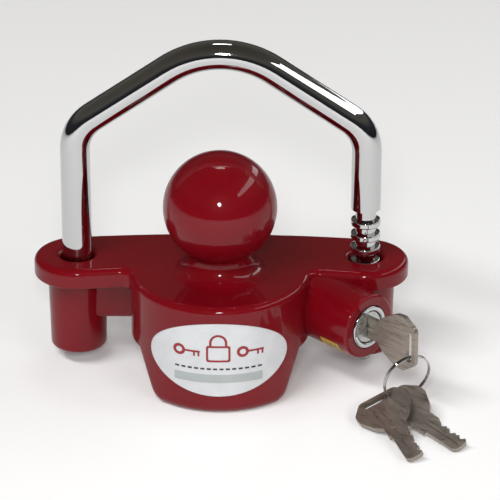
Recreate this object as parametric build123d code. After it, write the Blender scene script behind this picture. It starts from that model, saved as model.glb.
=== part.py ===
"""Trailer coupler lock: a cast body with a ball on top, a sliding shackle and a keyed bolt.

Frame: millimetres, +Z up. The origin is under the ball's axis, on the plane that the body
stands on. +X runs towards the notched shackle leg, -Y towards the front of the body.
"""
from build123d import *
import os
from math import cos, radians, sin, sqrt

os.makedirs("parts", exist_ok=True)

# ---------------------------------------------------------------- driving dimensions
BALL_DIAMETER = 47.0            # a lock ball, just under 1 7/8 in
BALL_CENTRE_Z = 76.6
LEG_DIAMETER = 12.4
LEG_SPACING = 120.0
LEG_Y = 15.0                    # the shackle's plane lies behind the ball's axis
DECK_TOP_Z = 48.0
DECK_THICKNESS = 8.5
RUNNING_CLEARANCE = 0.05        # radial play of the lock's turning and sliding fits

# body casting
BULGE_RADIUS = 37.0             # round front of the body, about the ball's axis
WING_RADIUS = 18.0              # round wing ends, about the leg holes
WING_INNER_FRONT_Y = 5.0        # the wings' straight front edges would meet here
BACK_MID_Y = 36.8
DECK_TOP_FILLET = 3.0
DECK_BOTTOM_FILLET = 1.0
INNER_CORNER_FILLET = 4.5
LEG_BORE_RADIUS = 6.8
LEG_BORE_LIP = 2.5
POST_TOP_RADIUS = 12.4
POST_FOOT_RADIUS = 11.6
POST_FOOT_Z = 6.5
POST_FOOT_FILLET = 2.0
WEB_INNER_X = 28.0
WEB_FRONT_Y = 6.0
WEB_BACK_Y = 24.0
WEB_FOOT_Z = 22.0
WEB_FILLET = 3.0
SKIRT_FOOT_Z = 21.0
APRON_TOP_HALF_WIDTH = 33.0
APRON_FOOT_HALF_WIDTH = 26.0
APRON_OVERLAP = 4.0             # how far the apron reaches up into the skirt
APRON_BACK_Y = 20.0
APRON_CORNER_RADIUS = 7.0
APRON_FOOT_FILLET = 4.0
WALL = 5.5

# neck, ball shank, washer and nut
NECK_RADIUS = 13.0
NECK_FLARE = 8.0
SHANK_RADIUS = 8.0
SHANK_FOOT_Z = 22.0
SHANK_CHAMFER = 1.2
WASHER_RADIUS = 13.0
WASHER_THICKNESS = 2.5
WASHER_PLAY = 0.4
NUT_ACROSS_FLATS = 24.0
NUT_HEIGHT = 13.0
NUT_CHAMFER = 1.2

# lock barrel and its bore, on a level axis that points 45 degrees to the front right
BARREL_FACE = (61.4, -19.6, 32.1)
BARREL_RADIUS = 13.8
BARREL_LENGTH = 36.0
BARREL_FACE_FILLET = 1.2
LOCK_BORE_RADIUS = 8.65
LOCK_BORE_DEPTH = 30.6
BEZEL_SEAT_RADIUS = 9.5
BEZEL_SEAT_DEPTH = 1.4
BEZEL_RADIUS = 9.1
BEZEL_PROUD = 0.6
BEZEL_FILLET = 0.6

# lock cylinder; depths are negative behind the barrel's face
HOUSING_RADIUS = 8.6
HOUSING_BACK = -17.4
WAFER_TRACK_HALF_WIDTH = 2.8
WAFER_TRACK_HALF_HEIGHT = 7.4
CYLINDER_PIN_DEPTH = -12.0
CYLINDER_PIN_RADIUS = 1.5
CYLINDER_PIN_REACH = 7.7
PLUG_RADIUS = 6.0
PLUG_HEAD_RADIUS = 6.85
PLUG_HEAD_LENGTH = 2.0
PLUG_HEAD_PLAY = 0.3
KEYWAY_WIDTH = 2.6
KEYWAY_HEIGHT = 8.1
KEYWAY_DEPTH = 18.8
PLUG_BACK = -19.2
TANG_BACK = -20.6
TANG_WIDTH = 4.4
CLIP_FRONT = -17.7
CLIP_BACK = -18.3
CLIP_INNER_RADIUS = 5.2
CLIP_OUTER_RADIUS = 7.4
CLIP_MOUTH_HALF_WIDTH = 3.2

# wafers and their springs
WAFER_COUNT = 5
WAFER_PITCH = 2.8
FIRST_WAFER = -4.0
WAFER_THICKNESS = 0.9
WAFER_HALF_WIDTH = 2.5
WAFER_SLOT_PLAY = 0.1           # the plug's slots are this much larger on each side
WAFER_WINDOW_HALF_WIDTH = 1.45
WAFER_WINDOW_HALF_HEIGHT = 4.15
WAFER_EAR = (1.6, 2.4)          # low and high side of the ear that the spring lifts
WAFER_EAR_REACH = 3.9
WAFER_SPRING_X = 3.2
WAFER_SPRING_FOOT = -2.8
WAFER_SPRING_LENGTH = 4.2

# cam, locking bolt and its spring
CAM_RADIUS = 6.5
CAM_FRONT = -19.4
CAM_BACK = -22.0
ECCENTRIC = 1.63                # crank pin off the lock's axis; a quarter turn throws the bolt
CRANK_PIN_RADIUS = 1.7
CRANK_PIN_BACK = -28.5
BOLT_Z = 30.7                   # the bolt meets a groove of the notched leg at this height
BOLT_RADIUS = 3.4
BOLT_BORE_RADIUS = 3.45
BOLT_TIP_GAP = 0.9              # gap from the drawn-back bolt to the leg
NOSE_HALF_TIP = 0.95
NOSE_SLOPE = 0.51               # as steep as the flanks of the leg's rings
NOSE_LENGTH = 3.6
YOKE_BACK = -5.0
YOKE_FRONT = 3.5
YOKE_HEIGHTS = (-5.6, 5.4)
YOKE_FILLET = 0.8
WINDOW_HEIGHTS = (-0.95, 3.75)  # room for the crank pin's rise as it turns
WINDOW_PLAY = 0.35
SPRING_Y = -3.2
SPRING_BACK = -6.9
SPRING_POCKET_RADIUS = 1.9
SPRING_POCKET_DEPTH = 4.0
BORE_PLUG_START = 0.8           # past the leg's bore
BORE_PLUG_END = 11.0            # past the leg's axis

# shackle
SHACKLE_SHOULDER_Z = 105.0
SHACKLE_APEX_Z = 146.0
SHOULDER_BEND = 17.0
APEX_BEND = 38.0
PLAIN_LEG_FOOT_Z = 10.0
SHACKLE_CHAMFER = 1.2
NOTCHED_PLAIN_END_Z = 69.9
RING_PITCH = 6.0
RING_COUNT = 10
TOP_RING_Z = 63.7
RING_CORE_RADIUS = 4.25
RING_RIM = 2.2
RING_FLANK = 1.0
RING_EDGE_RADIUS = 0.6
TIP_RADIUS = 2.85
TIP_Z = 0.2
TIP_CHAMFER = 0.6

# keys; a key's blade ends at its local x = 0, where the plug's face is
KEY_THICKNESS = 2.0
BLADE_LENGTH = 18.5
BLADE_WIDTH = 7.5
BLADE_TIP_RADIUS = 2.6
BLADE_GROOVE_WIDTH = 1.5
BLADE_GROOVE_Y = 1.1
BLADE_GROOVE_DEPTH = 0.4
ROOT_LENGTH = 6.0
ROOT_WIDTH = 9.5
BOW_LENGTH = 20.8
BOW_WIDTH = 24.4
BOW_CORNER_RADIUS = 3.0
KEY_SLOT_LENGTH = 13.2
KEY_SLOT_WIDTH = 3.0
KEY_SLOT_FROM_END = 3.3
KEY_SLOT_OFFSET = 0.7
KEY_CUTS = (1.5, 0.8, 2.0, 1.1, 1.7)
CUT_HALF_FLOOR = 0.4

# split ring, and where the two spare keys hang on it
RING_RADIUS = 10.6
RING_TURNS = 1.94
RING_END_ANGLE = 190.0
WIRE_RADIUS = 0.4
WIRE_PITCH = 0.82
RING_HANG = -5.2                # where the ring lies in the working key's slot
SPARE_A_ANGLE = 139.2
SPARE_A_BOW = (-0.297, 0.955, 0)
SPARE_A_NORMAL = (-0.346, -0.229, 0.93)
SPARE_A_OFFSET = -4.65
SPARE_B_ANGLE = 162.1
SPARE_B_BOW = (-0.630, 0.777, 0)
SPARE_B_NORMAL = (-0.222, -0.301, 0.93)
SPARE_B_OFFSET = -2.25

# labels
LABEL_HALF_WIDTH = 27.8
LABEL_HALF_HEIGHT = 16.5
LABEL_CENTRE_Z = 25.1
LABEL_THICKNESS = 0.3
BARREL_LABEL_FRONT = -5.5
BARREL_LABEL_BACK = -15.5
BARREL_LABEL_ANGLES = (204.0, 38.0)

# ---------------------------------------------------------------- derived frames
LEG_X = LEG_SPACING / 2
LEG_RADIUS = LEG_DIAMETER / 2
BALL_RADIUS = BALL_DIAMETER / 2
DECK_FOOT_Z = DECK_TOP_Z - DECK_THICKNESS
NECK_TOP_Z = BALL_CENTRE_Z - sqrt(BALL_RADIUS**2 - NECK_RADIUS**2)
HALF = sqrt(0.5)
# lock frame: local x towards the notched leg, local y up, local z out of the barrel's face
LOCK = Plane(origin=BARREL_FACE, x_dir=(HALF, HALF, 0), z_dir=(HALF, -HALF, 0))
LEG_FROM_LOCK = LOCK.to_local_coords(Vector(LEG_X, LEG_Y, BOLT_Z))
LEG_REACH = LEG_FROM_LOCK.X     # leg axis from the lock's axis, along the bolt
BOLT_DROP = -LEG_FROM_LOCK.Y    # bolt axis below the lock's axis
BOLT_DEPTH = -LEG_FROM_LOCK.Z   # bolt axis behind the barrel's face
BOLT_TIP = LEG_REACH - LEG_RADIUS - BOLT_TIP_GAP
KEY_SLOT_X = ROOT_LENGTH + BOW_LENGTH - KEY_SLOT_FROM_END
LOCK_AXIS = Axis(BARREL_FACE, (HALF, -HALF, 0))


def lock_rod(radius, z_low, z_high, x=0.0, y=0.0):
    """A cylinder along the lock's axis, between two depths behind the barrel's face."""
    height = z_high - z_low
    return LOCK * Pos(x, y, z_low) * Cylinder(
        radius, height, align=(Align.CENTER, Align.CENTER, Align.MIN)
    )


def lock_box(x_span, y_span, z_span):
    """A block in the lock's frame, given by its low and high sides."""
    corner = Pos(x_span[0], y_span[0], z_span[0])
    size = (x_span[1] - x_span[0], y_span[1] - y_span[0], z_span[1] - z_span[0])
    return LOCK * corner * Box(*size, align=(Align.MIN, Align.MIN, Align.MIN))


def bolt_rod(radius, x_low, x_high):
    """A cylinder along the bolt's axis, which points at the notched leg."""
    return LOCK * Pos(x_low, -BOLT_DROP, -BOLT_DEPTH) * Rot(0, 90, 0) * Cylinder(
        radius, x_high - x_low, align=(Align.CENTER, Align.CENTER, Align.MIN)
    )


def upright(radius, z_low, z_high, x=0.0, y=0.0):
    """A vertical cylinder between two heights."""
    return Pos(x, y, z_low) * Cylinder(
        radius, z_high - z_low, align=(Align.CENTER, Align.CENTER, Align.MIN)
    )


# ---------------------------------------------------------------- body casting
def deck_outline():
    """The deck seen from above: round wing ends, straight front edges and a round bulge."""
    wing_back = LEG_Y + WING_RADIUS
    wing_front = LEG_Y - WING_RADIUS
    back_arc = ThreePointArc((-LEG_X, wing_back), (0, BACK_MID_Y), (LEG_X, wing_back))
    rim = Polyline(
        (LEG_X, wing_back), (LEG_X, wing_front), (0, WING_INNER_FRONT_Y),
        (-LEG_X, wing_front), (-LEG_X, wing_back),
    )
    outline = make_face([back_arc, rim]) + Circle(BULGE_RADIUS)
    for side in (-1, 1):
        outline += Pos(side * LEG_X, LEG_Y) * Circle(WING_RADIUS)
    inner_corners = [v for v in outline.vertices() if v.Y < LEG_Y - 5 and 20 < abs(v.X) < 50]
    return fillet(inner_corners, INNER_CORNER_FILLET)


def apron_side():
    """The cup below the bulge seen from the front: sides that close in towards the foot."""
    top = APRON_TOP_HALF_WIDTH
    foot = APRON_FOOT_HALF_WIDTH
    high = SKIRT_FOOT_Z + APRON_OVERLAP
    outline = make_face(
        Polyline(
            (-top, high), (-top, SKIRT_FOOT_Z), (-foot, 0), (foot, 0), (top, SKIRT_FOOT_Z),
            (top, high), (-top, high),
        )
    )
    foot_corners = [v for v in outline.vertices() if abs(v.Y) < 0.01]
    return fillet(foot_corners, APRON_CORNER_RADIUS)


def make_apron():
    sides = extrude(Plane.XZ * apron_side(), 2 * BULGE_RADIUS, both=True)
    back = Pos(0, APRON_BACK_Y - 100, 0) * Box(200, 200, 200)
    apron = upright(BULGE_RADIUS, 0, SKIRT_FOOT_Z + APRON_OVERLAP) & sides & back
    foot = apron.faces().sort_by(Axis.Z)[0]
    return fillet(foot.outer_wire().edges(), APRON_FOOT_FILLET)


def make_hollow():
    """The open space under the deck, which narrows with the apron and is open at the foot."""
    inner = BULGE_RADIUS - WALL
    upper = upright(inner, SKIRT_FOOT_Z, DECK_FOOT_Z)
    top = APRON_TOP_HALF_WIDTH - WALL
    foot = APRON_FOOT_HALF_WIDTH - WALL
    low = -1.0
    side_view = make_face(
        Polyline((-top, SKIRT_FOOT_Z), (-foot, low), (foot, low), (top, SKIRT_FOOT_Z),
                 (-top, SKIRT_FOOT_Z))
    )
    sides = extrude(Plane.XZ * side_view, 2 * BULGE_RADIUS, both=True)
    back = Pos(0, APRON_BACK_Y - WALL - 100, 0) * Box(200, 200, 200)
    lower = upright(inner, low, SKIRT_FOOT_Z) & sides & back
    return upper, lower


def make_post(side):
    height = DECK_FOOT_Z - POST_FOOT_Z + 1
    cone = Cone(
        POST_FOOT_RADIUS, POST_TOP_RADIUS, height, align=(Align.CENTER, Align.CENTER, Align.MIN)
    )
    cone = fillet(cone.edges().sort_by(Axis.Z)[0], POST_FOOT_FILLET)
    return Pos(side * LEG_X, LEG_Y, POST_FOOT_Z) * cone


def make_web(side):
    """The rib that joins a post to the bulge under the wing."""
    width = LEG_X - WEB_INNER_X
    web = Box(width, WEB_BACK_Y - WEB_FRONT_Y, DECK_FOOT_Z - WEB_FOOT_Z + 1)
    web = fillet(web.edges().filter_by(Axis.X).group_by(Axis.Z)[0], WEB_FILLET)
    centre_z = (DECK_FOOT_Z + WEB_FOOT_Z + 1) / 2
    return Pos(side * (WEB_INNER_X + width / 2), (WEB_FRONT_Y + WEB_BACK_Y) / 2, centre_z) * web


def make_neck():
    """The boss under the ball, which flares out into the deck."""
    flare_radius = NECK_RADIUS + NECK_FLARE
    flare_top = DECK_TOP_Z + NECK_FLARE
    sag = NECK_FLARE * HALF
    low = DECK_TOP_Z - 2
    profile = make_face([
        Polyline((NECK_RADIUS, flare_top), (NECK_RADIUS, NECK_TOP_Z), (0, NECK_TOP_Z), (0, low),
                 (flare_radius, low), (flare_radius, DECK_TOP_Z)),
        ThreePointArc((flare_radius, DECK_TOP_Z), (flare_radius - sag, flare_top - sag),
                      (NECK_RADIUS, flare_top)),
    ])
    return revolve(Plane.XZ * profile, Axis.Z)


def make_casting():
    deck = extrude(Pos(0, 0, DECK_FOOT_Z) * deck_outline(), DECK_THICKNESS)
    top_rim = deck.faces().sort_by(Axis.Z)[-1].outer_wire().edges()
    deck = fillet(top_rim, DECK_TOP_FILLET)
    foot_rim = deck.faces().sort_by(Axis.Z)[0].outer_wire().edges()
    deck = fillet(foot_rim, DECK_BOTTOM_FILLET)
    skirt = upright(BULGE_RADIUS, SKIRT_FOOT_Z, DECK_TOP_Z - DECK_TOP_FILLET - 0.5)
    barrel = lock_rod(BARREL_RADIUS, -BARREL_LENGTH, 0)
    barrel = fillet(barrel.edges().sort_by(LOCK_AXIS)[-1], BARREL_FACE_FILLET)
    body = deck
    for side in (-1, 1):
        body += make_post(side) + make_web(side)
    body = body + barrel + skirt + make_apron() + make_neck()
    for space in make_hollow():
        body -= space
    for side in (-1, 1):
        body -= upright(LEG_BORE_RADIUS, 0, DECK_TOP_Z + 1, side * LEG_X, LEG_Y)
        lips = [
            e for e in body.edges().filter_by(GeomType.CIRCLE)
            if abs(e.radius - LEG_BORE_RADIUS) < 0.01 and abs(e.arc_center.Z - DECK_TOP_Z) < 0.01
            and e.arc_center.X * side > 0
        ]
        body = fillet(lips, LEG_BORE_LIP)
    body -= upright(SHANK_RADIUS + RUNNING_CLEARANCE, DECK_FOOT_Z - 1, NECK_TOP_Z + 1)
    body -= lock_rod(LOCK_BORE_RADIUS, -LOCK_BORE_DEPTH, 1)
    body -= lock_rod(BEZEL_SEAT_RADIUS, -BEZEL_SEAT_DEPTH, 1)
    body -= bolt_rod(BOLT_BORE_RADIUS, 0, LEG_REACH + POST_TOP_RADIUS + 5)
    body -= cylinder_pin_shape()
    return body


# ---------------------------------------------------------------- ball and its fastening
def make_ball():
    ball = Pos(0, 0, BALL_CENTRE_Z) * Sphere(BALL_RADIUS)
    ball &= Pos(0, 0, NECK_TOP_Z + 50) * Box(100, 100, 100)
    shank = upright(SHANK_RADIUS, SHANK_FOOT_Z, NECK_TOP_Z + 1)
    shank = chamfer(shank.edges().sort_by(Axis.Z)[0], SHANK_CHAMFER)
    return ball + shank


def make_ball_washer():
    disc = upright(WASHER_RADIUS, DECK_FOOT_Z - WASHER_THICKNESS, DECK_FOOT_Z)
    return disc - upright(SHANK_RADIUS + WASHER_PLAY, 0, DECK_FOOT_Z + 1)


def make_ball_nut():
    top = DECK_FOOT_Z - WASHER_THICKNESS
    prism = extrude(RegularPolygon(NUT_ACROSS_FLATS / 2, 6, major_radius=False), NUT_HEIGHT)
    round_over = Cylinder(
        NUT_ACROSS_FLATS / sqrt(3), NUT_HEIGHT, align=(Align.CENTER, Align.CENTER, Align.MIN)
    )
    round_over = chamfer(round_over.edges().group_by(Axis.Z)[0], NUT_CHAMFER)
    nut = Pos(0, 0, top - NUT_HEIGHT) * (prism & round_over)
    return nut - upright(SHANK_RADIUS, 0, top + 1)


# ---------------------------------------------------------------- lock cylinder
def cylinder_pin_shape():
    """The pin that stands in the barrel's underside and holds the lock cylinder in."""
    foot = LOCK.from_local_coords(Vector(0, -BARREL_RADIUS + 0.1, CYLINDER_PIN_DEPTH))
    length = BARREL_RADIUS - 0.1 - CYLINDER_PIN_REACH
    return Pos(*foot) * Cylinder(
        CYLINDER_PIN_RADIUS, length, align=(Align.CENTER, Align.CENTER, Align.MIN)
    )


def make_housing():
    housing = lock_rod(HOUSING_RADIUS, HOUSING_BACK, -BEZEL_SEAT_DEPTH)
    housing -= lock_rod(PLUG_RADIUS + RUNNING_CLEARANCE, HOUSING_BACK - 1, 0)
    housing -= lock_rod(PLUG_HEAD_RADIUS + PLUG_HEAD_PLAY, -PLUG_HEAD_LENGTH - 0.4, 0)
    housing -= lock_box(
        (-WAFER_TRACK_HALF_WIDTH, WAFER_TRACK_HALF_WIDTH),
        (-WAFER_TRACK_HALF_HEIGHT, WAFER_TRACK_HALF_HEIGHT),
        (HOUSING_BACK + 0.8, FIRST_WAFER + 1.0),
    )
    pin_groove = lock_rod(HOUSING_RADIUS + 1, CYLINDER_PIN_DEPTH - 1.7, CYLINDER_PIN_DEPTH + 1.7)
    pin_groove -= lock_rod(CYLINDER_PIN_REACH - 0.1, -HOUSING_RADIUS * 3, 0)
    return housing - pin_groove


def make_bezel():
    bezel = lock_rod(BEZEL_RADIUS, -BEZEL_SEAT_DEPTH, BEZEL_PROUD)
    bezel -= lock_rod(PLUG_HEAD_RADIUS + PLUG_HEAD_PLAY, -5, 5)
    front = bezel.edges().group_by(LOCK_AXIS)[-1]
    return fillet(front, BEZEL_FILLET)


def wafer_depth(index):
    return FIRST_WAFER - index * WAFER_PITCH


def make_plug():
    plug = lock_rod(PLUG_RADIUS, PLUG_BACK, -PLUG_HEAD_LENGTH)
    head = lock_rod(PLUG_HEAD_RADIUS, -PLUG_HEAD_LENGTH, 0)
    plug += fillet(head.edges().sort_by(LOCK_AXIS)[-1], 0.4)
    half_tang = TANG_WIDTH / 2
    plug += lock_box((-half_tang, half_tang), (-half_tang, half_tang), (TANG_BACK, PLUG_BACK))
    half_width = KEYWAY_WIDTH / 2
    half_height = KEYWAY_HEIGHT / 2
    plug -= lock_box((-half_width, half_width), (-half_height, half_height), (-KEYWAY_DEPTH, 1))
    clip_groove = lock_rod(PLUG_RADIUS + 1, CLIP_BACK - 0.05, CLIP_FRONT + 0.05)
    plug -= clip_groove - lock_rod(CLIP_INNER_RADIUS, CLIP_BACK - 1, CLIP_FRONT + 1)
    for index in range(WAFER_COUNT):
        depth = wafer_depth(index)
        half_slot = WAFER_THICKNESS / 2 + WAFER_SLOT_PLAY
        slot_side = WAFER_HALF_WIDTH + WAFER_SLOT_PLAY
        plug -= lock_box((-slot_side, slot_side), (-6.5, 6.5), (depth - half_slot, depth + half_slot))
        plug -= lock_box((2.4, WAFER_EAR_REACH + 0.2), (-3.0, 3.0), (depth - 0.8, depth + 0.8))
    return plug


def make_clip():
    ring = lock_rod(CLIP_OUTER_RADIUS, CLIP_BACK, CLIP_FRONT)
    ring -= lock_rod(CLIP_INNER_RADIUS, CLIP_BACK - 1, CLIP_FRONT + 1)
    mouth = (-CLIP_MOUTH_HALF_WIDTH, CLIP_MOUTH_HALF_WIDTH)
    return ring - lock_box(mouth, (0, 10), (CLIP_BACK - 1, CLIP_FRONT + 1))


def make_wafer(index):
    depth = wafer_depth(index)
    half = WAFER_THICKNESS / 2
    across = (-WAFER_HALF_WIDTH, WAFER_HALF_WIDTH)
    plate = lock_box(across, (-6, 6), (depth - half, depth + half))
    plate &= lock_rod(PLUG_RADIUS - 0.2, depth - 1, depth + 1)
    plate += lock_box((WAFER_HALF_WIDTH, WAFER_EAR_REACH), WAFER_EAR, (depth - half, depth + half))
    window_across = (-WAFER_WINDOW_HALF_WIDTH, WAFER_WINDOW_HALF_WIDTH)
    window_up = (-WAFER_WINDOW_HALF_HEIGHT, WAFER_WINDOW_HALF_HEIGHT)
    return plate - lock_box(window_across, window_up, (depth - 1, depth + 1))


def coil(radius, wire_radius, length, turns):
    """A coil spring that stands on its local origin along local +Z."""
    path = Helix(pitch=length / turns, height=length, radius=radius)
    section = Plane(origin=path @ 0, z_dir=path % 0) * Circle(wire_radius)
    return sweep(section, path=path, is_frenet=True)


def make_wafer_spring(index):
    spring = coil(0.5, 0.13, WAFER_SPRING_LENGTH, 5)
    place = Pos(WAFER_SPRING_X, WAFER_SPRING_FOOT, wafer_depth(index))
    return LOCK * place * Rot(-90, 0, 0) * spring


def make_cam():
    cam = lock_rod(CAM_RADIUS, CAM_BACK, CAM_FRONT)
    half = TANG_WIDTH / 2 + 0.05
    cam -= lock_box((-half, half), (-half, half), (TANG_BACK - 0.1, 0))
    offset_xy = ECCENTRIC * HALF
    return cam + lock_rod(CRANK_PIN_RADIUS, CRANK_PIN_BACK, CAM_BACK, -offset_xy, offset_xy)


# ---------------------------------------------------------------- bolt
def make_bolt():
    """The bolt: a round bar with a wedge nose, and a block with a window round the crank pin."""
    yoke_z = (-BOLT_DEPTH - BOLT_RADIUS + 0.2, -BOLT_DEPTH + BOLT_RADIUS)
    block = lock_box((YOKE_BACK, YOKE_FRONT), YOKE_HEIGHTS, yoke_z)
    block = fillet(block.edges().filter_by(LOCK_AXIS), YOKE_FILLET)
    bar = bolt_rod(BOLT_RADIUS, YOKE_FRONT - 1, BOLT_TIP)
    half_root = NOSE_HALF_TIP + NOSE_SLOPE * NOSE_LENGTH
    nose_back = BOLT_TIP - NOSE_LENGTH
    wedge = make_face(
        Polyline(
            (YOKE_FRONT - 2, -half_root), (nose_back, -half_root), (BOLT_TIP, -NOSE_HALF_TIP),
            (BOLT_TIP, NOSE_HALF_TIP), (nose_back, half_root), (YOKE_FRONT - 2, half_root),
            (YOKE_FRONT - 2, -half_root),
        )
    )
    wedge = LOCK * Pos(0, -BOLT_DROP, -BOLT_DEPTH) * extrude(wedge, 10, both=True)
    bolt = block + (bar & wedge)
    centre_x = -ECCENTRIC * HALF
    half_window = CRANK_PIN_RADIUS + WINDOW_PLAY
    window = (centre_x - half_window, centre_x + half_window)
    bolt -= lock_box(window, WINDOW_HEIGHTS, (-40, 0))
    pocket = LOCK * Pos(YOKE_BACK - 1, SPRING_Y, -BOLT_DEPTH) * Rot(0, 90, 0) * Cylinder(
        SPRING_POCKET_RADIUS, 1 + SPRING_POCKET_DEPTH, align=(Align.CENTER, Align.CENTER, Align.MIN)
    )
    return bolt - pocket


def make_bolt_spring():
    front = YOKE_BACK + SPRING_POCKET_DEPTH - 0.35
    spring = coil(1.4, 0.28, front - SPRING_BACK, 5)
    return LOCK * Pos(SPRING_BACK, SPRING_Y, -BOLT_DEPTH) * Rot(0, 90, 0) * spring


def make_bore_plug():
    start = LEG_REACH + LEG_BORE_RADIUS + BORE_PLUG_START
    return bolt_rod(BOLT_BORE_RADIUS, start, LEG_REACH + BORE_PLUG_END)


# ---------------------------------------------------------------- shackle
def make_shackle():
    path = FilletPolyline(
        (-LEG_X, PLAIN_LEG_FOOT_Z), (-LEG_X, SHACKLE_SHOULDER_Z), (0, SHACKLE_APEX_Z),
        (LEG_X, SHACKLE_SHOULDER_Z), (LEG_X, NOTCHED_PLAIN_END_Z),
        radius=[SHOULDER_BEND, APEX_BEND, SHOULDER_BEND],
    )
    path = Plane.XZ * path
    section = Plane(origin=path @ 0, z_dir=path % 0) * Circle(LEG_RADIUS)
    bar = Pos(0, LEG_Y, 0) * sweep(section, path=path)
    ends = bar.faces().sort_by(Axis.Z)
    bar = chamfer([ends[0].edges()[0], ends[1].edges()[0]], SHACKLE_CHAMFER)
    return bar + make_notched_end()


def make_notched_end():
    """The lower part of the notched leg: a core with evenly spaced rings and a thin tip."""
    rings = []
    for index in range(RING_COUNT):
        z = TOP_RING_Z - index * RING_PITCH
        half_rim = RING_RIM / 2
        half_foot = half_rim + RING_FLANK
        rings += [(RING_CORE_RADIUS, z + half_foot), (LEG_RADIUS, z + half_rim),
                  (LEG_RADIUS, z - half_rim), (RING_CORE_RADIUS, z - half_foot)]
    last_ring_foot = rings[-1][1]
    profile = make_face(
        Polyline(
            (0, NOTCHED_PLAIN_END_Z + 0.5), (RING_CORE_RADIUS, NOTCHED_PLAIN_END_Z + 0.5), *rings,
            (TIP_RADIUS, last_ring_foot - 0.5), (TIP_RADIUS, TIP_Z + TIP_CHAMFER),
            (TIP_RADIUS - TIP_CHAMFER, TIP_Z), (0, TIP_Z), (0, NOTCHED_PLAIN_END_Z + 0.5),
        )
    )
    ring_edges = [v for v in profile.vertices() if abs(v.X - LEG_RADIUS) < 0.01]
    profile = fillet(ring_edges, RING_EDGE_RADIUS)
    return Pos(LEG_X, LEG_Y, 0) * revolve(Plane.XZ * profile, Axis.Z)


# ---------------------------------------------------------------- labels
def make_front_label():
    """A thin oval label that follows the round front of the body."""
    skin = upright(BULGE_RADIUS + LABEL_THICKNESS, 0, DECK_TOP_Z)
    skin -= upright(BULGE_RADIUS, -1, DECK_TOP_Z + 1)
    oval = Plane.XZ * Pos(0, LABEL_CENTRE_Z) * Ellipse(LABEL_HALF_WIDTH, LABEL_HALF_HEIGHT)
    return skin & extrude(oval, BULGE_RADIUS + 2)


def make_barrel_label():
    """A small label on the front underside of the lock barrel."""
    ring = lock_rod(BARREL_RADIUS + LABEL_THICKNESS / 2, BARREL_LABEL_BACK, BARREL_LABEL_FRONT)
    ring -= lock_rod(BARREL_RADIUS, -BARREL_LENGTH, 1)
    start, sweep_angle = BARREL_LABEL_ANGLES
    wedge = make_face([
        Line((0, 0), Vector(30, 0).rotate(Axis.Z, start)),
        CenterArc((0, 0), 30, start, sweep_angle),
        Line(Vector(30, 0).rotate(Axis.Z, start + sweep_angle), (0, 0)),
    ])
    return ring & (LOCK * Pos(0, 0, -BARREL_LENGTH) * extrude(wedge, BARREL_LENGTH))


# ---------------------------------------------------------------- keys and key ring
def make_key():
    """One key, lying flat: local +X runs from the blade to the bow, local Z is its thickness."""
    half_bow = BOW_WIDTH / 2
    bow_start = ROOT_LENGTH - 0.5
    bow_end = ROOT_LENGTH + BOW_LENGTH
    upper_rim = [
        (bow_start, 4.5), (bow_start + 3.5, 8.0), (bow_start + 10.5, half_bow - 0.4),
        (bow_end - 6.3, half_bow), (bow_end, half_bow - 4.2),
    ]
    lower_rim = [(x, -y) for x, y in reversed(upper_rim)]
    bow = make_face(Polyline(*upper_rim, *lower_rim, upper_rim[0]))
    bow = fillet(bow.vertices(), BOW_CORNER_RADIUS)
    root = Pos(ROOT_LENGTH / 2 + 1, 0) * Rectangle(ROOT_LENGTH + 2, ROOT_WIDTH)
    blade = Pos(1 - BLADE_LENGTH / 2, 0) * Rectangle(BLADE_LENGTH + 2, BLADE_WIDTH)
    tip = [v for v in blade.vertices() if v.X < -BLADE_LENGTH / 2]
    blade = fillet(tip, BLADE_TIP_RADIUS)
    for index, depth in enumerate(KEY_CUTS):
        x = wafer_depth(index)
        edge = -BLADE_WIDTH / 2
        blade -= make_face(
            Polyline(
                (x - CUT_HALF_FLOOR - depth, edge - 0.01), (x - CUT_HALF_FLOOR, edge + depth),
                (x + CUT_HALF_FLOOR, edge + depth), (x + CUT_HALF_FLOOR + depth, edge - 0.01),
                (x - CUT_HALF_FLOOR - depth, edge - 0.01),
            )
        )
    slot = SlotOverall(KEY_SLOT_LENGTH, KEY_SLOT_WIDTH)
    slot = Pos(KEY_SLOT_X, KEY_SLOT_OFFSET) * Rot(0, 0, 90) * slot
    half = KEY_THICKNESS / 2
    key = extrude(bow + root + blade - slot, half, both=True)
    for side in (-1, 1):
        groove = Box(BLADE_LENGTH + 2.5, BLADE_GROOVE_WIDTH, 2 * BLADE_GROOVE_DEPTH)
        key -= Pos(2.75 - BLADE_LENGTH / 2, BLADE_GROOVE_Y * side, side * half) * groove
    return key


def key_frame(slot_point, bow_direction, normal, slot_offset):
    """A plane for a key whose slot passes through slot_point, slot_offset along the slot."""
    z_dir = Vector(*normal).normalized()
    bow = Vector(*bow_direction)
    x_dir = (bow - z_dir * bow.dot(z_dir)).normalized()
    origin = Vector(*slot_point) - x_dir * KEY_SLOT_X - z_dir.cross(x_dir) * slot_offset
    return Plane(origin=origin, x_dir=x_dir, z_dir=z_dir)


# the ring hangs from the slot in the working key's bow
RING_TOP = LOCK.from_local_coords(Vector(0, RING_HANG, KEY_SLOT_X))
RING_AXIS = Vector(0.48, -0.84, -0.22).normalized()
RING_UP = (Vector(0, 0, 1) - RING_AXIS * RING_AXIS.Z).normalized()
RING_PLANE = Plane(origin=RING_TOP - RING_UP * RING_RADIUS, x_dir=RING_UP, z_dir=RING_AXIS)


def ring_point(angle):
    """A point on the ring's centreline; angle 0 is where it hangs from the working key."""
    local = Vector(RING_RADIUS * cos(radians(angle)), RING_RADIUS * sin(radians(angle)), 0)
    return RING_PLANE.from_local_coords(local)


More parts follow.
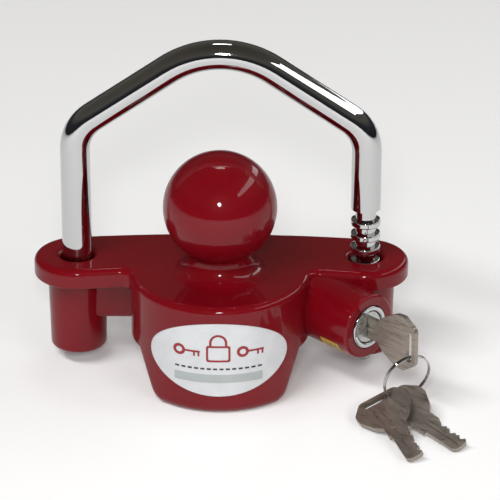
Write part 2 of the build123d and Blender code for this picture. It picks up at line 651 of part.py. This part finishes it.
def make_key_ring():
    width = WIRE_PITCH * RING_TURNS
    path = Helix(pitch=WIRE_PITCH, height=width, radius=RING_RADIUS)
    section = Plane(origin=path @ 0, z_dir=path % 0) * Circle(WIRE_RADIUS)
    ring = sweep(section, path=path, is_frenet=True)
    return RING_PLANE * Rot(0, 0, RING_END_ANGLE) * Pos(0, 0, -width / 2) * ring


WORKING_KEY_FRAME = Plane(origin=BARREL_FACE, x_dir=(HALF, -HALF, 0), z_dir=(HALF, HALF, 0))
SPARE_A_FRAME = key_frame(
    ring_point(SPARE_A_ANGLE), SPARE_A_BOW, SPARE_A_NORMAL, SPARE_A_OFFSET
)
SPARE_B_FRAME = key_frame(
    ring_point(SPARE_B_ANGLE), SPARE_B_BOW, SPARE_B_NORMAL, SPARE_B_OFFSET
)

# ---------------------------------------------------------------- export
nodes = {
    "body_casting": make_casting(),
    "coupler_ball": make_ball(),
    "ball_washer": make_ball_washer(),
    "ball_nut": make_ball_nut(),
    "lock_cylinder_housing": make_housing(),
    "cylinder_bezel": make_bezel(),
    "cylinder_pin": cylinder_pin_shape(),
    "cylinder_plug": make_plug(),
    "plug_clip": make_clip(),
    "wafer_tumblers": Compound([make_wafer(i) for i in range(WAFER_COUNT)]),
    "wafer_springs": Compound([make_wafer_spring(i) for i in range(WAFER_COUNT)]),
    "drive_cam": make_cam(),
    "locking_bolt": make_bolt(),
    "bolt_spring": make_bolt_spring(),
    "bolt_bore_plug": make_bore_plug(),
    "shackle": make_shackle(),
    "front_label": make_front_label(),
    "barrel_label": make_barrel_label(),
    "working_key": WORKING_KEY_FRAME * make_key(),
    "key_ring": make_key_ring(),
    "spare_key_a": SPARE_A_FRAME * make_key(),
    "spare_key_b": SPARE_B_FRAME * make_key(),
}
for name, shape in nodes.items():
    export_step(shape, f"parts/{name}.step")
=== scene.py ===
"""Looks of a trailer coupler lock: enamelled casting, chromed shackle, lock, labels and keys."""
import math

import bmesh
import bpy
from mathutils import Matrix, Vector


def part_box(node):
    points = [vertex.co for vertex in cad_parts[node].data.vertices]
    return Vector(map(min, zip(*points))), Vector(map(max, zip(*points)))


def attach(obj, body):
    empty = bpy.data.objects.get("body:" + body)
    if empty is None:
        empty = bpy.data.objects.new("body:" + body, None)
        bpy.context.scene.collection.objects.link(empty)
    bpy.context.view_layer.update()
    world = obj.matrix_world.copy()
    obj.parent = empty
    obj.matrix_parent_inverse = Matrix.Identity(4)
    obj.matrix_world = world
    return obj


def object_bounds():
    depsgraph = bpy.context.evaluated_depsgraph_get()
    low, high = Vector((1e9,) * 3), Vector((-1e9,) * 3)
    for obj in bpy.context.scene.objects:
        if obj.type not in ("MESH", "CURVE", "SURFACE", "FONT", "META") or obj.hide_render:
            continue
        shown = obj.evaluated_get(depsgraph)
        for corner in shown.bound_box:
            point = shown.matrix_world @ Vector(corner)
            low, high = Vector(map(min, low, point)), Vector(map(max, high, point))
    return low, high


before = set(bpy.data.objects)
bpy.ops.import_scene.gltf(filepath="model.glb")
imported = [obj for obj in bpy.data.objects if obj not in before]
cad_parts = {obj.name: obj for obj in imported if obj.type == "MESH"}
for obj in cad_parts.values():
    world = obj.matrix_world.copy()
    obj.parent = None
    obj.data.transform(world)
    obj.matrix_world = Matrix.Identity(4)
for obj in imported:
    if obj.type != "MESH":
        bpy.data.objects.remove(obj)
cad_low, cad_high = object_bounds()

MM = 0.001

# ---------------------------------------------------------------- view
CAMERA_AZIMUTH = math.radians(-1.0)
CAMERA_ELEVATION = math.radians(25.7)
CAMERA_DISTANCE = 1.55
CAMERA_LENS = 268.0
SENSOR = 36.0
# the point at the centre of the picture, to the right of the shackle's plane
AIM = (0.0120, 0.0150, 0.0500)


def make_camera():
    data = bpy.data.cameras.new("camera")
    data.lens = CAMERA_LENS
    data.sensor_width = SENSOR
    data.clip_start = 0.05
    data.clip_end = 20.0
    camera = bpy.data.objects.new("camera", data)
    bpy.context.scene.collection.objects.link(camera)
    forward = Vector((
        math.sin(CAMERA_AZIMUTH) * math.cos(CAMERA_ELEVATION),
        math.cos(CAMERA_AZIMUTH) * math.cos(CAMERA_ELEVATION),
        -math.sin(CAMERA_ELEVATION),
    ))
    camera.location = Vector(AIM) - forward * CAMERA_DISTANCE
    camera.rotation_euler = forward.to_track_quat("-Z", "Y").to_euler()
    bpy.context.scene.camera = camera


make_camera()
bpy.context.scene.view_settings.view_transform = "Standard"


# ---------------------------------------------------------------- node helpers
class Shader:
    """A node material with one Principled surface."""

    def __init__(self, name, **values):
        self.material = bpy.data.materials.new(name)
        self.material.use_nodes = True
        self.tree = self.material.node_tree
        self.surface = self.tree.nodes["Principled BSDF"]
        coordinates = self.add("ShaderNodeTexCoord")
        self.place = coordinates.outputs["Object"]
        for socket, value in values.items():
            self.surface.inputs[socket.replace("_", " ")].default_value = value

    def add(self, kind, **settings):
        node = self.tree.nodes.new(kind)
        for name, value in settings.items():
            setattr(node, name, value)
        return node

    def link(self, source, target):
        self.tree.links.new(source, target)

    def stretched(self, scale, rotation=(0, 0, 0)):
        """Object coordinates scaled per axis, for grain that runs one way."""
        mapping = self.add("ShaderNodeMapping")
        mapping.inputs["Scale"].default_value = scale
        mapping.inputs["Rotation"].default_value = rotation
        self.link(self.place, mapping.inputs["Vector"])
        return mapping.outputs["Vector"]

    def noise(self, scale, detail=3.0, roughness=0.5, vector=None):
        node = self.add("ShaderNodeTexNoise")
        node.inputs["Scale"].default_value = scale
        node.inputs["Detail"].default_value = detail
        node.inputs["Roughness"].default_value = roughness
        self.link(vector or self.place, node.inputs["Vector"])
        return node.outputs["Fac"]

    def ramp(self, source, stops):
        """A colour ramp; each stop is a place and a grey value or a colour."""
        node = self.add("ShaderNodeValToRGB")
        elements = node.color_ramp.elements
        while len(elements) < len(stops):
            elements.new(0.5)
        for element, (place, value) in zip(elements, stops):
            element.position = place
            element.color = (*value, 1) if isinstance(value, tuple) else (value, value, value, 1)
        self.link(source, node.inputs["Fac"])
        return node.outputs["Color"]

    def span(self, source, low, high):
        node = self.add("ShaderNodeMapRange")
        node.inputs["From Min"].default_value = 0.3
        node.inputs["From Max"].default_value = 0.7
        node.inputs["To Min"].default_value = low
        node.inputs["To Max"].default_value = high
        self.link(source, node.inputs["Value"])
        return node.outputs["Result"]

    def bump(self, height, strength, distance, previous=None):
        node = self.add("ShaderNodeBump")
        node.inputs["Strength"].default_value = strength
        node.inputs["Distance"].default_value = distance
        self.link(height, node.inputs["Height"])
        if previous:
            self.link(previous, node.inputs["Normal"])
        return node.outputs["Normal"]

    def into(self, source, socket):
        self.link(source, self.surface.inputs[socket])


# ---------------------------------------------------------------- materials
def red_enamel():
    """Glossy dark red enamel over a casting: slow waves, fine orange peel and uneven depth."""
    s = Shader(
        "red_enamel", Coat_Weight=0.55, Coat_Roughness=0.035, Coat_IOR=1.5, Specular_IOR_Level=0.05
    )
    patches = s.noise(28.0, 4.0)
    tones = [(0.3, (0.148, 0.0016, 0.0050)), (0.7, (0.178, 0.0024, 0.0070))]
    s.into(s.ramp(patches, tones), "Base Color")
    s.into(s.span(s.noise(160.0), 0.32, 0.46), "Roughness")
    waves = s.bump(s.noise(70.0, 2.0), 0.10, 0.4 * MM)
    peel = s.bump(s.noise(520.0, 2.0), 0.06, 0.12 * MM, waves)
    s.into(peel, "Normal")
    s.into(peel, "Coat Normal")
    return s.material


def polished_chrome(name, tint=0.56):
    s = Shader(name, Metallic=1.0, Base_Color=(tint, tint * 1.005, tint * 1.01, 1))
    s.into(s.span(s.noise(90.0, 5.0, 0.6), 0.02, 0.06), "Roughness")
    s.into(s.bump(s.noise(140.0, 2.0), 0.04, 0.15 * MM), "Normal")
    return s.material


def zinc_plate():
    s = Shader("zinc_plate", Metallic=1.0)
    tone = s.noise(240.0, 4.0)
    s.into(s.ramp(tone, [(0.3, (0.46, 0.46, 0.44)), (0.7, (0.62, 0.62, 0.60))]), "Base Color")
    s.into(s.span(s.noise(700.0, 3.0), 0.28, 0.45), "Roughness")
    s.into(s.bump(s.noise(900.0, 2.0), 0.12, 0.1 * MM), "Normal")
    return s.material


def machined_brass():
    s = Shader("machined_brass", Metallic=1.0)
    tone = s.noise(180.0, 4.0)
    s.into(s.ramp(tone, [(0.3, (0.60, 0.42, 0.17)), (0.7, (0.72, 0.52, 0.24))]), "Base Color")
    s.into(s.span(s.noise(500.0), 0.25, 0.40), "Roughness")
    s.into(s.bump(s.noise(1100.0, 2.0), 0.08, 0.08 * MM), "Normal")
    return s.material


def satin_nickel(name, dark, light, roughness, scale, rotation=(0, 0, 0), metallic=1.0):
    """Nickel with a fine one-way grain; a worn surface is given as less than fully metallic."""
    s = Shader(name, Metallic=metallic)
    grain = s.noise(1.0, 3.0, 0.6, s.stretched(scale, rotation))
    s.into(s.ramp(grain, [(0.3, dark), (0.7, light)]), "Base Color")
    s.into(s.span(grain, *roughness), "Roughness")
    s.into(s.bump(grain, 0.03, 0.03 * MM), "Normal")
    return s.material


def spring_steel():
    s = Shader("bright_spring_steel", Metallic=1.0)
    tones = [(0.3, (0.42, 0.42, 0.43)), (0.7, (0.58, 0.58, 0.59))]
    s.into(s.ramp(s.noise(300.0), tones), "Base Color")
    s.into(s.span(s.noise(900.0), 0.18, 0.32), "Roughness")
    return s.material


def printed_foil(name, dark, light, roughness):
    """A printed adhesive label: smooth film with a faint paper-like mottle."""
    s = Shader(name, Coat_Weight=0.25, Coat_Roughness=0.25)
    s.into(s.ramp(s.noise(90.0, 5.0, 0.6), [(0.3, dark), (0.7, light)]), "Base Color")
    s.into(s.span(s.noise(600.0), roughness - 0.06, roughness + 0.06), "Roughness")
    s.into(s.bump(s.noise(350.0, 3.0), 0.05, 0.05 * MM), "Normal")
    return s.material


enamel = red_enamel()
chrome = polished_chrome("mirror_chrome")
zinc = zinc_plate()
brass = machined_brass()
spring = spring_steel()
plug_nickel = satin_nickel(
    "plug_nickel", (0.40, 0.41, 0.40), (0.56, 0.57, 0.56), (0.22, 0.40), (900, 900, 900)
)
key_nickel = satin_nickel(
    "key_nickel", (0.22, 0.19, 0.16), (0.40, 0.355, 0.31), (0.24, 0.40), (120, 120, 1600),
    (0, 0, math.radians(45)), 0.72,
)
ring_steel = polished_chrome("ring_steel", 0.55)
label_film = printed_foil("label_film", (0.55, 0.56, 0.575), (0.64, 0.65, 0.665), 0.38)
yellow_film = printed_foil("yellow_film", (0.40, 0.25, 0.008), (0.50, 0.32, 0.014), 0.40)
grey_ink = printed_foil("grey_ink", (0.35, 0.38, 0.38), (0.40, 0.43, 0.43), 0.42)
red_ink = printed_foil("red_ink", (0.22, 0.008, 0.015), (0.30, 0.015, 0.022), 0.40)
black_ink = printed_foil("black_ink", (0.012, 0.012, 0.012), (0.03, 0.03, 0.03), 0.42)

NODE_MATERIALS = {
    "body_casting": enamel, "coupler_ball": enamel, "ball_washer": zinc, "ball_nut": zinc,
    "lock_cylinder_housing": brass, "cylinder_bezel": chrome, "cylinder_pin": zinc,
    "cylinder_plug": plug_nickel, "plug_clip": zinc, "wafer_tumblers": brass,
    "wafer_springs": spring, "drive_cam": plug_nickel, "locking_bolt": zinc,
    "bolt_spring": spring, "bolt_bore_plug": zinc, "shackle": chrome,
    "front_label": label_film, "barrel_label": yellow_film, "working_key": key_nickel,
    "key_ring": ring_steel, "spare_key_a": key_nickel, "spare_key_b": key_nickel,
}
for node_name, material in NODE_MATERIALS.items():
    for material_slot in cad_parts[node_name].material_slots:
        material_slot.link = "DATA"
        material_slot.material = material


# ---------------------------------------------------------------- printed shapes
LABEL_LOW, LABEL_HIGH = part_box("front_label")
LABEL_CENTRE_Z = (LABEL_LOW.z + LABEL_HIGH.z) / 2
LABEL_RADIUS = -LABEL_LOW.y
INK_THICKNESS = 0.06 * MM
INK_STRIP = 1.0 * MM


def ellipse(half_width, half_height, count=96):
    steps = [2 * math.pi * i / count for i in range(count)]
    return [(half_width * math.cos(a), half_height * math.sin(a)) for a in steps]


def rounded_box(x, z, half_width, half_height, radius, count=6):
    points = []
    for quarter, (sx, sz) in enumerate(((1, 1), (-1, 1), (-1, -1), (1, -1))):
        for i in range(count + 1):
            a = math.pi / 2 * (quarter + i / count)
            points.append((
                x + sx * (half_width - radius) + radius * math.cos(a),
                z + sz * (half_height - radius) + radius * math.sin(a),
            ))
    return points


def arch(x, z, radius, leg, count=20):
    """The outline of an arch that stands on z: two legs and a half circle."""
    steps = [math.pi * i / count for i in range(count + 1)]
    top = [(x + radius * math.cos(a), z + leg + radius * math.sin(a)) for a in steps]
    return [(x + radius, z), *top, (x - radius, z)]


def band(outer, inner):
    """Quads between two outlines with the same number of points."""
    n = len(outer)
    return [[outer[i], outer[(i + 1) % n], inner[(i + 1) % n], inner[i]] for i in range(n)]


def print_shape(name, polygons, place, material):
    """Flat polygons cut into strips, laid on a round surface by place(), and given a thickness."""
    mesh = bpy.data.meshes.new(name)
    bm = bmesh.new()
    for polygon in polygons:
        bm.faces.new([bm.verts.new((x, 0, z)) for x, z in polygon])
    bmesh.ops.remove_doubles(bm, verts=bm.verts, dist=0.005 * MM)
    low = min(v.co.x for v in bm.verts)
    high = max(v.co.x for v in bm.verts)
    cut = low + INK_STRIP
    while cut < high:
        parts = bm.verts[:] + bm.edges[:] + bm.faces[:]
        bmesh.ops.bisect_plane(bm, geom=parts, plane_co=(cut, 0, 0), plane_no=(1, 0, 0))
        cut += INK_STRIP
    outside = bmesh.ops.extrude_face_region(bm, geom=bm.faces[:])["geom"]
    raised = {v for v in outside if isinstance(v, bmesh.types.BMVert)}
    for v in bm.verts:
        v.co = place(v.co.x, v.co.z, INK_THICKNESS if v in raised else 0.0)
    bmesh.ops.recalc_face_normals(bm, faces=bm.faces)
    bm.to_mesh(mesh)
    bm.free()
    mesh.materials.append(material)
    piece = bpy.data.objects.new(name, mesh)
    bpy.context.scene.collection.objects.link(piece)
    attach(piece, "body")


def on_label(x, z, height):
    radius = LABEL_RADIUS + height
    return Vector((x, -math.sqrt(radius**2 - x**2), z))


def key_sign(x, z, length, height):
    """A plain key drawn on its side: a ring, a stem and two teeth."""
    radius = height / 2
    ring_x = x - length / 2 + radius
    ring = [(ring_x + u, z + w) for u, w in ellipse(radius, radius, 20)]
    hole = [(ring_x + u, z + w) for u, w in ellipse(radius * 0.5, radius * 0.5, 20)]
    stem_low = ring_x + radius * 0.9
    stem_high = x + length / 2
    stem_middle = (stem_low + stem_high) / 2
    stem = rounded_box(stem_middle, z, (stem_high - stem_low) / 2, height * 0.09, 0.1 * MM)
    teeth = [
        rounded_box(tooth, z - height * 0.24, height * 0.08, height * 0.18, 0.05 * MM)
        for tooth in (stem_high - height * 0.12, stem_high - height * 0.48)
    ]
    return band(ring, hole) + [stem] + teeth


def front_label_print():
    z = LABEL_CENTRE_Z
    bar = rounded_box(0, z - 8.4 * MM, 18.0 * MM, 1.9 * MM, 0.3 * MM)
    print_shape("label_bar", [bar], on_label, grey_ink)
    dash_count = 14
    dash_pitch = 2.6 * MM
    first_dash = -(dash_count - 1) / 2
    dashes = [
        rounded_box((i + first_dash) * dash_pitch, z - 4.0 * MM, 0.85 * MM, 0.40 * MM, 0.12 * MM)
        for i in range(dash_count)
    ]
    print_shape("label_dashes", dashes, on_label, black_ink)
    case = rounded_box(0, z + 2.9 * MM, 5.0 * MM, 3.7 * MM, 0.9 * MM)
    window = rounded_box(0, z + 2.9 * MM, 4.1 * MM, 2.8 * MM, 0.6 * MM)
    print_shape("label_padlock_case", band(case, window), on_label, red_ink)
    bow_foot = z + 6.6 * MM
    outer = arch(0, bow_foot, 3.7 * MM, 1.4 * MM)
    inner = arch(0, bow_foot, 2.7 * MM, 1.4 * MM)
    print_shape("label_padlock_bow", band(outer, inner)[:-1], on_label, red_ink)
    for side, name in ((-1, "left"), (1, "right")):
        sign = key_sign(side * 13.0 * MM, z + 3.6 * MM, 11.0 * MM, 5.0 * MM)
        print_shape(f"label_key_{name}", sign, on_label, red_ink)


front_label_print()

BARREL_AXIS = Vector((math.sqrt(0.5), -math.sqrt(0.5), 0))
BARREL_SIDE = Vector((math.sqrt(0.5), math.sqrt(0.5), 0))
BARREL_LABEL_RADIUS = 13.95 * MM


def barrel_label_print():
    """Plain dark strokes printed across the small label on the barrel."""
    low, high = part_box("barrel_label")
    middle = (low + high) / 2
    face_low, face_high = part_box("cylinder_bezel")
    face = (face_low + face_high) / 2
    depth = (middle - face).dot(BARREL_AXIS)
    foot = face + BARREL_AXIS * depth
    across = middle - foot
    centre_angle = math.atan2(across.z, across.dot(BARREL_SIDE))

    def on_barrel(x, z, height):
        radius = BARREL_LABEL_RADIUS + height
        angle = centre_angle + x / BARREL_LABEL_RADIUS
        out = BARREL_SIDE * math.cos(angle) + Vector((0, 0, 1)) * math.sin(angle)
        return foot + BARREL_AXIS * z + out * radius

    strokes = [
        rounded_box(0, row * MM, 3.1 * MM, 0.32 * MM, 0.15 * MM) for row in (-2.6, 0.0, 2.6)
    ]
    print_shape("barrel_label_strokes", strokes, on_barrel, black_ink)


barrel_label_print()


# ---------------------------------------------------------------- floor and light
def make_floor():
    s = Shader("floor_paper", Roughness=0.9, Emission_Color=(1, 1, 1, 1), Emission_Strength=0.10)
    s.into(s.ramp(s.noise(3.0, 2.0), [(0.3, 0.90), (0.7, 0.92)]), "Base Color")
    mesh = bpy.data.meshes.new("floor")
    half = 2.5
    z = cad_low.z - 0.05 * MM
    corners = [(-half, -half, z), (half, -half, z), (half, half, z), (-half, half, z)]
    mesh.from_pydata(corners, [], [(0, 1, 2, 3)])
    mesh.materials.append(s.material)
    floor = bpy.data.objects.new("floor", mesh)
    bpy.context.scene.collection.objects.link(floor)


def area_light(name, place, target, size, power, shape="RECTANGLE", size_y=None):
    data = bpy.data.lights.new(name, "AREA")
    data.shape = shape
    data.size = size
    if size_y:
        data.size_y = size_y
    data.energy = power
    light = bpy.data.objects.new(name, data)
    light.location = place
    light.rotation_euler = (Vector(target) - Vector(place)).to_track_quat("-Z", "Y").to_euler()
    bpy.context.scene.collection.objects.link(light)
    return light


def strip_turn(place, target, along):
    """The turn of a strip light that faces target with its long side along a direction."""
    back = (Vector(place) - Vector(target)).normalized()
    long_side = Vector(along)
    long_side = (long_side - back * long_side.dot(back)).normalized()
    short_side = long_side.cross(back)
    return Matrix((short_side, long_side, back)).transposed().to_euler()


def make_world():
    """A dim room round the table, lighter behind it; past the floor the camera sees pale grey."""
    world = bpy.data.worlds.new("studio")
    bpy.context.scene.world = world
    world.use_nodes = True
    nodes = world.node_tree.nodes
    links = world.node_tree.links
    coordinates = nodes.new("ShaderNodeTexCoord")
    split = nodes.new("ShaderNodeSeparateXYZ")
    links.new(coordinates.outputs["Generated"], split.inputs["Vector"])
    ramp = nodes.new("ShaderNodeValToRGB")
    links.new(split.outputs["Z"], ramp.inputs["Fac"])
    elements = ramp.color_ramp.elements
    stops = [(0.0, (0.02, 0.02, 0.025)), (0.22, (0.03, 0.03, 0.035)), (0.40, (0.10, 0.092, 0.08)),
             (1.0, (0.06, 0.054, 0.045))]
    while len(elements) < len(stops):
        elements.new(0.5)
    for element, (place, colour) in zip(elements, stops):
        element.position = place
        element.color = (*colour, 1)
    lighter_behind = nodes.new("ShaderNodeMapRange")
    lighter_behind.inputs["From Min"].default_value = 0.0
    lighter_behind.inputs["From Max"].default_value = 0.7
    lighter_behind.inputs["To Min"].default_value = 1.0
    lighter_behind.inputs["To Max"].default_value = 1.3
    links.new(split.outputs["Y"], lighter_behind.inputs["Value"])
    room = nodes["Background"]
    links.new(ramp.outputs["Color"], room.inputs["Color"])
    links.new(lighter_behind.outputs["Result"], room.inputs["Strength"])
    backdrop = nodes.new("ShaderNodeBackground")
    backdrop.inputs["Strength"].default_value = 1.0
    rays = nodes.new("ShaderNodeLightPath")
    mix = nodes.new("ShaderNodeMixShader")
    links.new(rays.outputs["Is Camera Ray"], mix.inputs["Fac"])
    links.new(room.outputs["Background"], mix.inputs[1])
    links.new(backdrop.outputs["Background"], mix.inputs[2])
    links.new(mix.outputs["Shader"], nodes["World Output"].inputs["Surface"])


make_floor()
make_world()
MIDDLE = (0.0, 0.0, 0.06)
# the two soft boxes light the surfaces but don't show in the gloss, as in a light tent
area_light("soft_box", (-0.7, -0.9, 1.5), MIDDLE, 1.4, 22.0).visible_glossy = False
area_light("fill_box", (0.9, -1.2, 0.9), MIDDLE, 0.9, 6.0).visible_glossy = False
area_light("flash", (0.0, -1.36, 0.86), MIDDLE, 0.20, 7.0, "DISK")
window = area_light("window_strip", (1.25, 0.43, 1.06), MIDDLE, 0.24, 9.0, "RECTANGLE", 3.4)
window.rotation_euler = strip_turn(window.location, MIDDLE, (0.25, 0.97, 0.0))
area_light("ceiling_tube", (0.0, 0.52, 1.50), MIDDLE, 0.34, 1.1, "RECTANGLE", 0.07)
